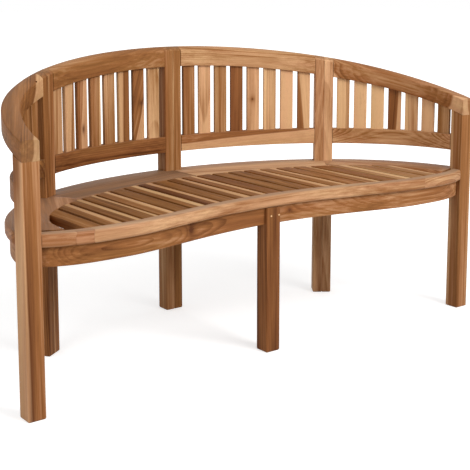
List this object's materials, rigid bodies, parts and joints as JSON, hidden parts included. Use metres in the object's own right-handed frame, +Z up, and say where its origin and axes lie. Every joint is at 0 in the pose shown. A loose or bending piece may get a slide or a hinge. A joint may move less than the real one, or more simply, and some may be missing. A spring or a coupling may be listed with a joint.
{
  "type": "curved garden bench",
  "caption": "Curved teak garden bench with a slatted seat and an upright slatted back whose top rail bends round into the arms.",
  "frame": {"origin": "middle of the bench's footprint box, on the floor", "axes": "+X along the bench, to the right for someone who looks at its front; +Y from the front to the back; +Z up"},
  "size_m": [1.549, 0.6181, 0.838],
  "materials": {
    "teak_posts": "oiled, satin, open grain",
    "teak_rails": "oiled, satin, open grain",
    "teak_slats": "oiled, satin, open grain",
    "teak_rim": "oiled, satin, open grain",
    "teak_seat_slats": "oiled, satin, open grain",
    "teak_aprons": "oiled, satin, open grain"
  },
  "bodies": {
    "root": {"end_post_left": "teak_posts", "end_post_right": "teak_posts", "corner_post_left": "teak_posts", "corner_post_right": "teak_posts", "back_post_center": "teak_posts", "front_leg_center": "teak_posts", "back_top_rail_left": "teak_rails", "back_top_rail_right": "teak_rails", "arm_rail_left": "teak_rails", "arm_rail_right": "teak_rails", "back_lower_rail_left": "teak_rails", "back_lower_rail_right": "teak_rails", "arm_lower_rail_left": "teak_rails", "arm_lower_rail_right": "teak_rails", "back_slat_left_1": "teak_slats", "back_slat_left_2": "teak_slats", "back_slat_left_3": "teak_slats", "back_slat_left_4": "teak_slats", "back_slat_left_5": "teak_slats", "back_slat_left_6": "teak_slats", "back_slat_left_7": "teak_slats", "back_slat_left_8": "teak_slats", "back_slat_right_1": "teak_slats", "back_slat_right_2": "teak_slats", "back_slat_right_3": "teak_slats", "back_slat_right_4": "teak_slats", "back_slat_right_5": "teak_slats", "back_slat_right_6": "teak_slats", "back_slat_right_7": "teak_slats", "back_slat_right_8": "teak_slats", "arm_slat_left_1": "teak_slats", "arm_slat_left_2": "teak_slats", "arm_slat_left_3": "teak_slats", "arm_slat_left_4": "teak_slats", "arm_slat_left_5": "teak_slats", "arm_slat_left_6": "teak_slats", "arm_slat_left_7": "teak_slats", "arm_slat_right_1": "teak_slats", "arm_slat_right_2": "teak_slats", "arm_slat_right_3": "teak_slats", "arm_slat_right_4": "teak_slats", "arm_slat_right_5": "teak_slats", "arm_slat_right_6": "teak_slats", "arm_slat_right_7": "teak_slats", "seat_rim_front": "teak_rim", "seat_rim_rear_left": "teak_rim", "seat_rim_rear_right": "teak_rim", "seat_rim_end_left": "teak_rim", "seat_rim_end_right": "teak_rim", "seat_slats_inner_left": "teak_seat_slats", "seat_slats_inner_right": "teak_seat_slats", "seat_slats_outer_left": "teak_seat_slats", "seat_slats_outer_right": "teak_seat_slats", "front_apron_left": "teak_aprons", "front_apron_right": "teak_aprons", "rear_apron_left": "teak_aprons", "rear_apron_right": "teak_aprons", "end_apron_left": "teak_aprons", "end_apron_right": "teak_aprons", "seat_bearer": "teak_aprons"}
  },
  "joints": []
}
